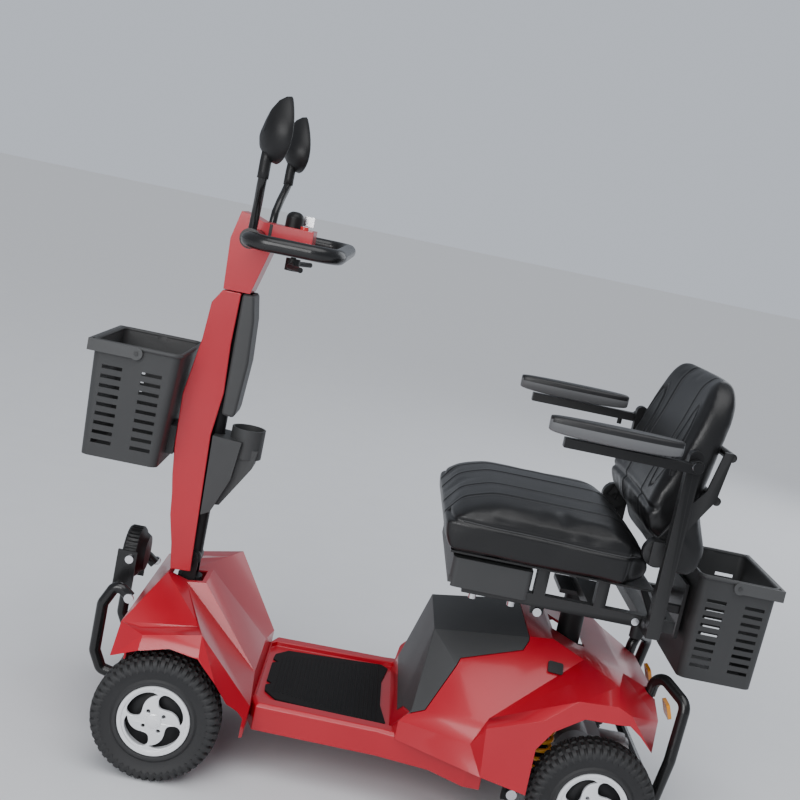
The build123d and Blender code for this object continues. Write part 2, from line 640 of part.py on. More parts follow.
DIAL_X = -346
LEVER_X = -335
with BuildPart() as tiller_head:
    add(prism(HEAD_OUTLINE, -TILLER_HALF, TILLER_HALF))
    rod(STEM_R + 1, (COLUMN_X, 0, 870), (COLUMN_X, 0, 934), Mode.SUBTRACT)
    rod(BAR_R + FIT_GAP, (BAR_X[0], -70, BAR_Z), (BAR_X[0], 70, BAR_Z), Mode.SUBTRACT)
    rod(4 + BORE_GAP, (DIAL_X, 0, 1003), (DIAL_X, 0, 1020), Mode.SUBTRACT)
    rod(8 + BORE_GAP, (CONTROL_X, -CONTROL_Y, 1001), (CONTROL_X, -CONTROL_Y, 1020), Mode.SUBTRACT)
    rod(3 + BORE_GAP, (CONTROL_X, CONTROL_Y, 1003), (CONTROL_X, CONTROL_Y, 1020), Mode.SUBTRACT)
    rod(5 + BORE_GAP, (LEVER_X, 0, 970), (LEVER_X, 0, 994), Mode.SUBTRACT)
save(tiller_head.part, "tiller_head")

with BuildPart() as handlebar:
    with BuildLine(Plane.XY.offset(BAR_Z)) as loop_path:
        FilletPolyline((BAR_X[0], 0), (BAR_X[0], BAR_HALF), (BAR_X[1], BAR_HALF), (BAR_X[1], 0), radius=46)
    with BuildSketch(Plane((BAR_X[0], 0, BAR_Z), x_dir=(1, 0, 0), z_dir=(0, 1, 0))):
        Circle(BAR_R)
    sweep(path=loop_path.line)
    mirror(about=Plane.XZ)
save(handlebar.part, "handlebar")

with BuildPart() as speed_dial:
    rod(4, (DIAL_X, 0, 1006), (DIAL_X, 0, 1018))
    rod(17, (DIAL_X, 0, CONSOLE_TOP + FIT_GAP), (DIAL_X, 0, 1045))
    fillet(speed_dial.faces().sort_by(Axis.Z)[-1].edges(), 14)
save(speed_dial.part, "speed_dial")

with BuildPart() as horn_button:
    rod(8, (CONTROL_X, -CONTROL_Y, 1007), (CONTROL_X, -CONTROL_Y, 1021))
save(horn_button.part, "horn_button")

with BuildPart() as ignition_key:
    rod(3, (CONTROL_X, CONTROL_Y, 1005), (CONTROL_X, CONTROL_Y, 1022))
    block((CONTROL_X - 10, CONTROL_X + 10), (CONTROL_Y - 1.5, CONTROL_Y + 1.5), (1021, 1040))
save(ignition_key.part, "ignition_key")

with BuildPart() as throttle_lever:
    rod(5, (LEVER_X, 0, 955), (LEVER_X, 0, 990))
    rod(14, (LEVER_X, 0, 934), (LEVER_X, 0, 957))
    for side in SIDES.values():
        add(tube([(LEVER_X, side * 8, 945), (LEVER_X, side * 70, 945), (LEVER_X + 26, side * 112, 945)], 30, 5))
save(throttle_lever.part, "throttle_lever")

# ---------------------------------------------------------------- mirrors

STALK_Y = 150
MIRROR_Y = 218
MIRROR_X = -394
MIRROR_MID = (226, 1178)

with BuildPart() as mirror_stalks:
    for side in SIDES.values():
        rod(BAR_R + 6, (BAR_X[0], side * (STALK_Y - 9), BAR_Z), (BAR_X[0], side * (STALK_Y + 9), BAR_Z))
        rod(BAR_R + FIT_GAP, (BAR_X[0], side * 130, BAR_Z), (BAR_X[0], side * 172, BAR_Z), Mode.SUBTRACT)
    for side in SIDES.values():
        add(tube([
            (BAR_X[0], side * STALK_Y, BAR_Z + BAR_R + 3), (-402, side * (STALK_Y + 5), 1035),
            (MIRROR_X, side * MIRROR_Y, 1088), (MIRROR_X, side * MIRROR_Y, 1150),
        ], 16, 6))
save(mirror_stalks.part, "mirror_stalks")


def make_mirror(side):
    """Mirror shell with a socket for the stalk and a shallow recess for the glass."""
    y = side * MIRROR_MID[0]
    with BuildPart() as shell:
        for x, half_wide, half_high in ((-373, 48, 58), (-392, 44, 54), (-412, 22, 28)):
            with BuildSketch(Plane((x, y, MIRROR_MID[1]), x_dir=(0, 1, 0), z_dir=(1, 0, 0))):
                Ellipse(half_wide, half_high)
        loft(ruled=True)
        with BuildSketch(Plane((-377, y, MIRROR_MID[1]), x_dir=(0, 1, 0), z_dir=(1, 0, 0))):
            Ellipse(44, 54)
        extrude(amount=6, mode=Mode.SUBTRACT)
        rod(6 + BORE_GAP, (MIRROR_X, side * MIRROR_Y, 1100), (MIRROR_X, side * MIRROR_Y, 1152), Mode.SUBTRACT)
    return shell.part


def make_glass(side):
    """Mirror glass."""
    with BuildPart() as glass:
        with BuildSketch(Plane((-376.5, side * MIRROR_MID[0], MIRROR_MID[1]), x_dir=(0, 1, 0), z_dir=(1, 0, 0))):
            Ellipse(43.5, 53.5)
        extrude(amount=2)
    return glass.part


for side_name, side in SIDES.items():
    save(make_mirror(side), f"mirror_head_{side_name}")
    save(make_glass(side), f"mirror_glass_{side_name}")

# ---------------------------------------------------------------- baskets

BASKET_TOP_HALF = 118
BASKET_LOW_HALF = 104
BASKET_WALL = 3
PIN_R = 4
BAIL_Y = (120, 125)


def make_basket(low_x, high_x, low_z, high_z, lug_x, lug_z):
    """A tapered open basket with slotted sides, two bail pins and a mounting lug."""
    with BuildPart() as basket:
        for inset, drop in ((0, 0), (BASKET_WALL, -BASKET_WALL)):
            for (x0, x1), half, z in ((low_x, BASKET_LOW_HALF, low_z - drop), (high_x, BASKET_TOP_HALF, high_z)):
                with BuildSketch(Plane(((x0 + x1) / 2, 0, z))):
                    RectangleRounded(x1 - x0 - 2 * inset, 2 * (half - inset), 16 - inset)
            loft(mode=Mode.SUBTRACT if inset else Mode.ADD)
        rows = 9
        pitch = (high_z - low_z - 78) / (rows - 1)
        middle_x = (low_x[0] + low_x[1]) / 2
        for row in range(rows):
            slot_z = low_z + 26 + row * pitch
            for column in (-37, 37):
                block((middle_x + column - 19, middle_x + column + 19), (-130, 130), (slot_z, slot_z + 7),
                      Mode.SUBTRACT)
        pin_x = (high_x[0] + high_x[1]) / 2
        for side in SIDES.values():
            rod(PIN_R, (pin_x, side * (BASKET_TOP_HALF - 4), high_z - 12), (pin_x, side * 127, high_z - 12))
        block((pin_x - 9, pin_x + 9), (-BASKET_TOP_HALF - 1, -BASKET_TOP_HALF + 4), (high_z - 22, high_z - 2))
        block((pin_x - 9, pin_x + 9), (BASKET_TOP_HALF - 4, BASKET_TOP_HALF + 1), (high_z - 22, high_z - 2))
        block(lug_x, (-38, 38), lug_z)
    return basket.part


def make_bail(pin_x, end_x, pin_z):
    """A carrying handle that lies around the outer half of the rim."""
    band = 12
    with BuildPart() as bail:
        for side in SIDES.values():
            rod(band, (pin_x, side * BAIL_Y[0], pin_z), (pin_x, side * BAIL_Y[1], pin_z))
            block(sorted((pin_x, end_x)), span(side, *BAIL_Y), (pin_z - band + 2, pin_z + band))
            rod(PIN_R + BORE_GAP, (pin_x, side * 110, pin_z), (pin_x, side * 130, pin_z), Mode.SUBTRACT)
        grip = sorted((end_x, end_x + math.copysign(6, end_x - pin_x)))
        block(grip, (-BAIL_Y[1], BAIL_Y[1]), (pin_z - band + 2, pin_z + band))
    return bail.part


FRONT_BASKET = {"low_x": (-650, -505), "high_x": (-655, -493), "low_z": 527, "high_z": 748}
REAR_BASKET = {"low_x": (545, 690), "high_x": (539, 691), "low_z": 331, "high_z": 541}
save(make_basket(**FRONT_BASKET, lug_x=(-506, -489.5), lug_z=(545, 600)), "front_basket")
save(make_basket(**REAR_BASKET, lug_x=(536, 547), lug_z=(400, 500)), "rear_basket")
save(make_bail(-574, -658, 736), "front_basket_handle")
save(make_bail(615, 694, 529), "rear_basket_handle")

# ---------------------------------------------------------------- seat

CUSHION = [(34, 540), (44, 516), (400, SEAT_Z), (424, 528), (428, 552), (412, 572), (388, 594), (350, 616),
           (120, 617), (60, 600), (30, 570)]
BACK_OUTLINE = [
    (455, 554), (442, 596), (408, 616), (401, 640), (412, 690), (432, 750), (452, 810), (470, 870), (484, 908),
    (494, 914), (512, 912), (520, 902), (514, 850), (500, 780), (492, 700), (494, 670), (505, 625), (514, 591),
    (510, 560), (498, 546), (468, 544),
]

with BuildPart() as seat_frame:
    for side in SIDES.values():
        block((95, 490), span(side, RAIL_Y - 10, RAIL_Y + 10), RAIL_Z)
        for upright_x in (235, 347):
            block((upright_x - 11, upright_x + 11), span(side, RAIL_Y - 10, RAIL_Y + 10), (455, 511))
        for low_x, high_x in ((450, 420), (470, 440)):
            add(prism([(low_x - 7, 458), (low_x + 7, 458), (high_x + 7, 511), (high_x - 7, 511)],
                      *span(side, RAIL_Y - 10, RAIL_Y - 2)))
        block(POST_X, span(side, *POST_Y), (440, 775))
        block((404, POST_X[0] + 4), span(side, POST_Y[0], POST_Y[0] + 6), (568, 612))
        rod(12.5, (ARM_HINGE[0] + 0.5, side * POST_Y[0], 775), (ARM_HINGE[0] + 0.5, side * POST_Y[1], 775))
        rod(HINGE_R, (BACK_HINGE[0], side * 216, BACK_HINGE[1]), (BACK_HINGE[0], side * 238, BACK_HINGE[1]))
        rod(HINGE_R, (ARM_HINGE[0], side * 250, ARM_HINGE[1]), (ARM_HINGE[0], side * 280, ARM_HINGE[1]))
        rod(9, (ARM_HINGE[0], side * 279, ARM_HINGE[1]), (ARM_HINGE[0], side * 283, ARM_HINGE[1]))
        block((490, 530), span(side, 55, 69), (442, 457))
        # rubber stop and bracket under each rail
        rod(12, (427, side * RAIL_Y, 416), (427, side * RAIL_Y, 440))
        block((226, 250), span(side, RAIL_Y - 6, RAIL_Y + 6), (424, 440))
    block(POST_X, (-POST_Y[1], POST_Y[1]), (440, 459))
    block((95, 115), (-RAIL_Y, RAIL_Y), (440, 459))
    block((SEAT_POST_X - 13, SEAT_POST_X + 13), (-RAIL_Y, RAIL_Y), (440, 459))
    block((SEAT_POST_X - 45, SEAT_POST_X + 45), (-50, 50), (432, 441))
    block((470, 490), (-RAIL_Y, RAIL_Y), RAIL_Z)
    block((60, 436), (-200, 200), (509, 513))
    block((528, 535), (-75, 75), (395, 505))
save(seat_frame.part, "seat_frame")

with BuildPart() as seat_box:
    block((68, 217), (-199, 199), (446, 501))
    fillet(seat_box.edges().filter_by(Axis.Z), 12)
    for side in SIDES.values():
        block((60, 230), span(side, RAIL_Y - 10.5, RAIL_Y + 10.5), (430, 462), Mode.SUBTRACT)
    block((90, 116), (-RAIL_Y, RAIL_Y), (430, 460), Mode.SUBTRACT)
save(seat_box.part, "seat_box")

with BuildPart() as seat_cushion:
    add(prism(CUSHION, -228, 228))
    for side in SIDES.values():
        block((386, 440), span(side, 208, 240), (500, 640), Mode.SUBTRACT)
save(seat_cushion.part, "seat_cushion")

with BuildPart() as backrest_cushion:
    add(prism(BACK_OUTLINE, -212, 212))
save(backrest_cushion.part, "backrest_cushion")

HINGE_STRAP = [(402, 592), (430, 578), (470, 650), (500, 700), (512, 790), (496, 790), (480, 715), (440, 660)]
with BuildPart() as backrest_frame:
    for side in SIDES.values():
        add(prism(HINGE_STRAP, *span(side, 214, 220)))
        rod(26, (BACK_HINGE[0], side * 217, BACK_HINGE[1]), (BACK_HINGE[0], side * 234.5, BACK_HINGE[1]))
        bore = [(BACK_HINGE[0], side * y, BACK_HINGE[1]) for y in (212, 236)]
        rod(HINGE_R + BORE_GAP, *bore, Mode.SUBTRACT)
    rod(8, (502, -217, 700), (502, 217, 700))
    rod(8, (511, -217, 782), (511, 217, 782))
save(backrest_frame.part, "backrest_frame")


def make_armrest_arm(side):
    """Armrest tube that flips up about a pin on the seat post."""
    y = side * ARMREST_Y
    with BuildPart() as arm:
        block((204, ARM_HINGE[0]), (y - 10, y + 10), (750, 767))
        rod(12, (ARM_HINGE[0], y - 10, ARM_HINGE[1]), (ARM_HINGE[0], y + 10, ARM_HINGE[1]))
        rod(5, (400, y, 738), (400, y, 752))
        bore = [(ARM_HINGE[0], y - 12, ARM_HINGE[1]), (ARM_HINGE[0], y + 12, ARM_HINGE[1])]
        rod(HINGE_R + BORE_GAP, *bore, Mode.SUBTRACT)
    return arm.part


def make_armrest_pad(side):
    """Padded armrest top."""
    with BuildPart() as pad:
        with BuildSketch(Plane((291, side * ARMREST_Y, 768))):
            RectangleRounded(236, 50, 20)
        extrude(amount=35)
        fillet(pad.faces().sort_by(Axis.Z)[-1].edges(), 10)
    return pad.part


for side_name, side in SIDES.items():
    save(make_armrest_arm(side), f"armrest_arm_{side_name}")
    save(make_armrest_pad(side), f"armrest_pad_{side_name}")

# ---------------------------------------------------------------- visible bolts of the frame

with BuildPart() as frame_bolts:
    for side in SIDES.values():
        for bolt_x in (117, 189):
            rod(7, (bolt_x, side * RAIL_Y, 428), (bolt_x, side * RAIL_Y, RAIL_Z[0] - FIT_GAP))
        rod(8, (238, side * (RAIL_Y + 6.3), 429), (238, side * (RAIL_Y + 13), 429))
        rod(7, (416, side * (RAIL_Y + 10.3), 449), (416, side * (RAIL_Y + 16), 449))
        rod(10, (PIVOT_X, side * 204.3, PIVOT_Z), (PIVOT_X, side * 209, PIVOT_Z))
        rod(8, (-531, side * 59.3, LIGHT_Z), (-531, side * 65, LIGHT_Z))
        rod(9, (-508, side * 123.3, 276), (-508, side * 129, 276))
save(frame_bolts.part, "frame_bolts")
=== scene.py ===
import json
import math

import bmesh
import bpy
import numpy as np
from mathutils import Matrix, Vector
from mathutils.bvhtree import BVHTree

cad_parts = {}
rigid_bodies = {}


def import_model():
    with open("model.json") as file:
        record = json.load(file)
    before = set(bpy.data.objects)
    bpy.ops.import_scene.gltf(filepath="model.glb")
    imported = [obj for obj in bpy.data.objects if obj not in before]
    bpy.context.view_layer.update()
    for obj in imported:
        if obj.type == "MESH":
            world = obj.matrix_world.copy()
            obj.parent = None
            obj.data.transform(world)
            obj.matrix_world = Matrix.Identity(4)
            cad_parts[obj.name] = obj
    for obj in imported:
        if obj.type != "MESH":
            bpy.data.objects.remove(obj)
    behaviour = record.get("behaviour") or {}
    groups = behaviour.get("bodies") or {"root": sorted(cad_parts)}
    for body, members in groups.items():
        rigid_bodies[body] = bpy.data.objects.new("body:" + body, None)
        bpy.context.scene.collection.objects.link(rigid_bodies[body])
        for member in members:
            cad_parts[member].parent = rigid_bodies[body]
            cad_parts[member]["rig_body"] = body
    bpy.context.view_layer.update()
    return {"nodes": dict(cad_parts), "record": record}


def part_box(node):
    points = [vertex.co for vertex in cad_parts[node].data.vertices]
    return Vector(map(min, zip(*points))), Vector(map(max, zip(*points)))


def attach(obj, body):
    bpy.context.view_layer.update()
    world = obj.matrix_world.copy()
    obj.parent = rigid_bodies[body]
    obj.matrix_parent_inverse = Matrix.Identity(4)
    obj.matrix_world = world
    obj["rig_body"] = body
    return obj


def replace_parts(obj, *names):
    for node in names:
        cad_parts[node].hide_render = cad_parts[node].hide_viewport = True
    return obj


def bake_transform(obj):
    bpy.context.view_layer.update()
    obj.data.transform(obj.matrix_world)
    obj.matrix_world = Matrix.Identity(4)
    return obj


# Lengths in the tables below are millimetres, with X counted from the middle of the wheelbase.
ORIGIN_X = 18
AXLE_X = 401
AXLE_Z = 116
WHEEL_Y = 248
SIDES = {"left": -1, "right": 1}

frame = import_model()
nodes = frame["nodes"]
slot_of = {row["node"]: row["material_slot"] for row in frame["record"]["subparts"]}


def at(x, y, z):
    """A point of the tables in the row frame, in metres."""
    return Vector(((x - ORIGIN_X) / 1000, y / 1000, z / 1000))


# ---------------------------------------------------------------- materials

def link(tree, source, target):
    """Join two sockets of a node tree."""
    tree.links.new(source, target)


COAT_ROUGHNESS = 0.12
CLOUD_SCALE = 9
ROUGHNESS_SPREAD = 0.07
WORN_POINTINESS = (0.53, 0.62)
BUMP_HEIGHT = 0.001


def material(name, colour, roughness, metallic=0.0, coat=0.0, grain=900, depth=0.1, mottle=0.12,
             wear=0.0, leather=False, specular=0.4):
    """A procedural finish: mottled colour, uneven roughness, worn edges and a fine bump."""
    mat = bpy.data.materials.new(name)
    mat.use_nodes = True
    tree = mat.node_tree
    shader = tree.nodes["Principled BSDF"]
    place = tree.nodes.new("ShaderNodeTexCoord").outputs["Object"]
    shader.inputs["Metallic"].default_value = metallic
    shader.inputs["Coat Weight"].default_value = coat
    shader.inputs["Coat Roughness"].default_value = COAT_ROUGHNESS
    shader.inputs["Specular IOR Level"].default_value = specular

    clouds = tree.nodes.new("ShaderNodeTexNoise")
    clouds.inputs["Scale"].default_value = CLOUD_SCALE
    clouds.inputs["Detail"].default_value = 5
    link(tree, place, clouds.inputs["Vector"])
    tint = tree.nodes.new("ShaderNodeMix")
    tint.data_type = "RGBA"
    dark = [c * (1 - mottle) for c in colour]
    light = [min(1.0, c * (1 + mottle) + 0.004) for c in colour]
    tint.inputs["A"].default_value = (*dark, 1)
    tint.inputs["B"].default_value = (*light, 1)
    link(tree, clouds.outputs["Fac"], tint.inputs["Factor"])
    colour_out = tint.outputs["Result"]
    if wear:
        edge = tree.nodes.new("ShaderNodeNewGeometry")
        ramp = tree.nodes.new("ShaderNodeMapRange")
        ramp.inputs["From Min"].default_value, ramp.inputs["From Max"].default_value = WORN_POINTINESS
        ramp.inputs["To Max"].default_value = wear
        link(tree, edge.outputs["Pointiness"], ramp.inputs["Value"])
        worn = tree.nodes.new("ShaderNodeMix")
        worn.data_type = "RGBA"
        worn.inputs["B"].default_value = (*[min(1.0, c * 1.5 + 0.06) for c in colour], 1)
        link(tree, ramp.outputs["Result"], worn.inputs["Factor"])
        link(tree, colour_out, worn.inputs["A"])
        colour_out = worn.outputs["Result"]
    link(tree, colour_out, shader.inputs["Base Color"])

    rough = tree.nodes.new("ShaderNodeMapRange")
    rough.inputs["To Min"].default_value = max(0.02, roughness - ROUGHNESS_SPREAD)
    rough.inputs["To Max"].default_value = min(1.0, roughness + ROUGHNESS_SPREAD)
    link(tree, clouds.outputs["Fac"], rough.inputs["Value"])
    link(tree, rough.outputs["Result"], shader.inputs["Roughness"])

    if leather:
        fine = tree.nodes.new("ShaderNodeTexVoronoi")
        fine.feature = "DISTANCE_TO_EDGE"
        height = fine.outputs["Distance"]
    else:
        fine = tree.nodes.new("ShaderNodeTexNoise")
        fine.inputs["Detail"].default_value = 3
        height = fine.outputs["Fac"]
    fine.inputs["Scale"].default_value = grain
    link(tree, place, fine.inputs["Vector"])
    bump = tree.nodes.new("ShaderNodeBump")
    bump.inputs["Strength"].default_value = depth
    bump.inputs["Distance"].default_value = BUMP_HEIGHT
    link(tree, height, bump.inputs["Height"])
    link(tree, bump.outputs["Normal"], shader.inputs["Normal"])
    return mat


def clear(mat, weight):
    """Let light through."""
    mat.node_tree.nodes["Principled BSDF"].inputs["Transmission Weight"].default_value = weight
    return mat


RED = (0.43, 0.004, 0.017)
FINISH = {
    "red_body": material("red_body", RED, 0.33, coat=0.35, grain=500, depth=0.05, mottle=0.08,
                         wear=0.35),
    "grey_plastic": material("grey_plastic", (0.045, 0.046, 0.047), 0.48, specular=0.3, grain=1400,
                             depth=0.25, wear=0.3),
    "black_plastic": material("black_plastic", (0.008, 0.008, 0.0085), 0.4, specular=0.3, grain=1300,
                              depth=0.2, wear=0.2),
    "frame_black": material("frame_black", (0.006, 0.006, 0.0065), 0.36, specular=0.28, grain=1600,
                            depth=0.25, wear=0.35),
    "tube_black": material("tube_black", (0.008, 0.008, 0.0085), 0.26, coat=0.15, grain=700, depth=0.08),
    "bright_steel": material("bright_steel", (0.72, 0.72, 0.74), 0.22, metallic=1, grain=900, depth=0.08),
    "cast_alloy": material("cast_alloy", (0.45, 0.45, 0.46), 0.45, metallic=1, grain=800, depth=0.4),
    "wheel_white": material("wheel_white", (0.82, 0.83, 0.85), 0.28, metallic=0.25, coat=0.5, grain=600,
                            depth=0.06, mottle=0.04, wear=0.2),
    "tyre": material("tyre", (0.02, 0.02, 0.021), 0.6, grain=700, depth=0.35, mottle=0.25, wear=0.4),
    "mat_rubber": material("mat_rubber", (0.008, 0.008, 0.0085), 0.75, specular=0.2, grain=1200, depth=0.4),
    "leatherette": material("leatherette", (0.007, 0.007, 0.0075), 0.33, grain=420, depth=0.28,
                            leather=True, specular=0.42),
    "pad_foam": material("pad_foam", (0.13, 0.132, 0.136), 0.4, grain=1500, depth=0.3),
    "mirror": material("mirror", (0.85, 0.87, 0.9), 0.04, metallic=1, grain=40, depth=0.005, mottle=0.02),
    "lens": clear(material("lens", (0.9, 0.92, 0.95), 0.08, grain=240, depth=0.2, mottle=0.02), 0.6),
    "amber": material("amber", (0.85, 0.33, 0.02), 0.2, coat=0.5, grain=300, depth=0.2),
    "spring_yellow": material("spring_yellow", (0.83, 0.36, 0.01), 0.3, coat=0.5, grain=700, depth=0.1,
                              wear=0.3),
    "battery": material("battery", (0.05, 0.05, 0.06), 0.5, grain=1200, depth=0.2),
    "control_red": material("control_red", (0.6, 0.02, 0.02), 0.25, coat=0.5, grain=900, depth=0.08),
}
# The sewn cords are real; their grey, lighter than the leatherette, is a painted highlight along the piping.
PIPING_HIGHLIGHT_GREY = material("piping_painted_highlight", (0.05, 0.05, 0.052), 0.6, grain=2500, depth=0.6)
# Near-black sheet behind the rim windows: painted shade inside the wheel.
WINDOW_PAINTED_SHADE = material("window_painted_shade", (0.008, 0.008, 0.009), 0.6, grain=900, depth=0.2)
RIM_DARK = material("pad_rim_black", (0.012, 0.012, 0.013), 0.33, grain=1500, depth=0.25)

for name, node in nodes.items():
    node.data.materials.clear()
    node.data.materials.append(FINISH[slot_of[name]])


# ---------------------------------------------------------------- piece helpers

def body_of(node):
    """The body that carries a CAD node."""
    return nodes[node]["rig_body"]


def piece_from(name, bm, like, extra=(), smooth=True, body=None):
    """Make an object from a bmesh, finished like a CAD node and carried by its body.

    Another body may be named, and body=False leaves the piece attached to no body.
    """
    mesh = bpy.data.meshes.new(name)
    bmesh.ops.recalc_face_normals(bm, faces=bm.faces)
    bm.to_mesh(mesh)
    bm.free()
    piece = bpy.data.objects.new(name, mesh)
    bpy.context.scene.collection.objects.link(piece)
    for finish in (FINISH[slot_of[like]], *extra):
        mesh.materials.append(finish)
    mesh.polygons.foreach_set("use_smooth", [smooth] * len(mesh.polygons))
    if body is None:
        body = body_of(like)
    if body:
        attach(piece, body)
    return piece


def sharpened(piece, angle):
    """Shade the creases steeper than an angle as edges."""
    piece.data.set_sharp_from_angle(angle=math.radians(angle))


def bevelled(piece, width, angle):
    """Round the creases steeper than an angle, and shade the rest as one surface."""
    sharpened(piece, angle)
    bevel = piece.modifiers.new("Bevel", "BEVEL")
    bevel.width = width / 1000
    bevel.segments = 3
    bevel.limit_method = "ANGLE"
    bevel.angle_limit = math.radians(angle)
    bevel.harden_normals = True


def softened(node, width, angle=28):
    """A CAD node's own shape with welded facets and rounded edges."""
    bm = bmesh.new()
    bm.from_mesh(nodes[node].data)
    weld(bm, 0.03)
    bmesh.ops.dissolve_limit(bm, angle_limit=math.radians(1.2), verts=bm.verts, edges=bm.edges)
    piece = piece_from(f"{node}_shell", bm, node)
    bevelled(piece, width, angle)
    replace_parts(piece, node)


def rings(loops, closed_ends=True):
    """A skin through closed rings of points that all have the same count."""
    bm = bmesh.new()
    rows = [[bm.verts.new(point) for point in loop] for loop in loops]
    count = len(rows[0])
    for row, following in zip(rows, rows[1:]):
        for i in range(count):
            j = (i + 1) % count
            bm.faces.new((row[i], row[j], following[j], following[i]))
    if closed_ends:
        bm.faces.new(rows[0])
        bm.faces.new(list(reversed(rows[-1])))
    return bm


def join(bm, other):
    """Add another bmesh to this one."""
    mesh = bpy.data.meshes.new("joined")
    other.to_mesh(mesh)
    other.free()
    bm.from_mesh(mesh)
    bpy.data.meshes.remove(mesh)
    return bm


def lathe(centre, profile, steps, wave=None):
    """Turn a closed profile of (radius, offset) about a Y axis; wave may change a radius by its step."""
    loops = []
    for i in range(steps):
        angle = 2 * math.pi * i / steps
        loop = []
        for radius, offset in profile:
            r = radius + (wave(i, radius, offset) if wave else 0)
            x, z = centre[0] + r * math.cos(angle), centre[2] + r * math.sin(angle)
            loop.append(at(x, centre[1] + offset, z))
        loops.append(loop)
    return rings([*loops, loops[0]], closed_ends=False)


def weld(bm, distance=0.01):
    """Join the points that lie closer than a distance in millimetres."""
    bmesh.ops.remove_doubles(bm, verts=bm.verts, dist=distance / 1000)
    return bm


def sweep(points, radius, sides=14, closed=False):
    """A round bar through points, with flat ends or joined into a hoop."""
    loops = []
    previous = None
    for i, point in enumerate(points):
        ahead = points[(i + 1) % len(points)] if closed or i + 1 < len(points) else point
        behind = points[i - 1] if closed or i else point
        along = (ahead - behind).normalized()
        across = previous or along.orthogonal().normalized()
        across = (across - along * across.dot(along)).normalized()
        previous = across
        third = along.cross(across)
        loop = []
        for k in range(sides):
            turn = 2 * math.pi * k / sides
            loop.append(point + (across * math.cos(turn) + third * math.sin(turn)) * radius / 1000)
        loops.append(loop)
    if closed:
        return rings([*loops, loops[0]], closed_ends=False)
    return rings(loops)


# ---------------------------------------------------------------- wheels

TREAD_STEPS = 300
LUG = 6
TYRE_SECTION = [
    (66, 27), (69, 31), (74, 31), (78, 28.5), (85, 29.5), (92, 32.5), (97, 34.5), (99, 35), (105, 34.5),
    (109, 33), (112, 30.5), (114.5, 26), (115, 25), (115.2, 21), (116.6, 17), (116.8, 11), (117, 10),
    (117, 3), (117, 2),
]


def tread(i, radius, offset):
    """Depth of the tread grooves at a step round the tyre."""
    phase = (i + (3 if offset > 0 else 0)) % LUG
    if abs(offset) >= 25 and radius > 97:
        return -5.0 if phase < 2 else 0
    if 11.5 < abs(offset) < 25:
        return -4.0 if radius < 115.5 or phase in (4, 5) else 0
    if 2.5 < abs(offset) <= 11.5:
        return -3.5 if phase in (1, 2) else 0
    return -3.5 if radius > 116.5 and abs(offset) < 2.5 else 0


def flattened(bm):
    """Keep the contact patch on the ground."""
    for vert in bm.verts:
        vert.co.z = max(vert.co.z, 0.0)
    return bm


def make_tyre(end, side_name, x):
    """A treaded tyre that stands on the ground."""
    section = [(r, -w) for r, w in TYRE_SECTION] + [(r, w) for r, w in reversed(TYRE_SECTION)]
    node = f"tyre_{end}_{side_name}"
    y = SIDES[side_name] * WHEEL_Y
    bm = flattened(weld(lathe((x, y, AXLE_Z), section, TREAD_STEPS, tread)))
    piece = piece_from(f"{node}_treaded", bm, node)
    sharpened(piece, 32)
    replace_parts(piece, node)


# Sections of the wheel are (radius, offset from its middle), outlines on its face (radius, degrees).
RIM_SECTION = [
    (66, 28), (65, 30.5), (62, 31), (58.5, 30), (57, 26), (55.5, 12), (55.5, -20), (58, -27), (63, -29.5),
    (65.5, -28), (66, -26), (62, -18), (60, 0), (62, 18),
]
HUB_SECTION = [(0.5, 10), (0.5, 31), (11, 31), (14, 29.5), (15, 27), (17, 10)]
BACKING_SECTION = [(2, 4), (2, 8), (56, 12), (56, 8)]
WINDOW = [
    (53.5, -6), (55, 8), (55.5, 24), (55.5, 40), (54.5, 54), (52, 65), (48, 71), (45, 63), (42, 52),
    (38, 41), (33, 30), (28, 18), (25.5, 4), (27, -9), (34, -16), (42, -17), (49, -13),
]
HUB_SLOT = [(16, -16), (23, -22), (25, -6), (21, 2), (16, -2)]
DISC_R = 58
DISC_Y = 23
DISC_BULGE = 4


def polar_loop(points, turn, side):
    """An outline of the wheel's face in metres, turned by an angle."""
    loop = []
    for radius, degrees in points:
        angle = side * math.radians(degrees + turn)
        loop.append((radius / 1000 * math.cos(angle), radius / 1000 * math.sin(angle)))
    return loop


def spoke_disc(name, x, y, side):
    """The wheel's face: a disc with four swept windows and four small hub slots."""
    curve = bpy.data.curves.new(name, "CURVE")
    curve.dimensions = "2D"
    curve.fill_mode = "BOTH"
    curve.extrude = 0.0025
    curve.bevel_depth = 0.0012
    curve.bevel_resolution = 2
    outline = [(DISC_R, a) for a in range(0, 360, 5)]
    loops = [polar_loop(outline, 0, side)]
    for quarter in range(4):
        loops.append(polar_loop(WINDOW, 90 * quarter + 20, side))
        loops.append(polar_loop(HUB_SLOT, 90 * quarter + 66, side))
    for loop in loops:
        spline = curve.splines.new("BEZIER")
        spline.bezier_points.add(len(loop) - 1)
        for point, (u, v) in zip(spline.bezier_points, loop):
            point.co = (u, v, 0)
            point.handle_left_type = "AUTO"
            point.handle_right_type = "AUTO"
        spline.use_cyclic_u = True
        spline.resolution_u = 4
    holder = bpy.data.objects.new(name + "_curve", curve)
    bpy.context.scene.collection.objects.link(holder)
    mesh = bpy.data.meshes.new_from_object(holder.evaluated_get(bpy.context.evaluated_depsgraph_get()))
    bpy.data.objects.remove(holder)
    bm = bmesh.new()
    bm.from_mesh(mesh)
    bpy.data.meshes.remove(mesh)
    weld(bm)
    centre = at(x, y, AXLE_Z)
    for vert in bm.verts:
        u, v, w = vert.co
        # the face bulges gently outwards towards the hub
        bulge = DISC_BULGE / 1000 * (1 - min(1.0, math.hypot(u, v) * 1000 / DISC_R))
        vert.co = centre + Vector((u, side * (w + bulge), v))
    return bm


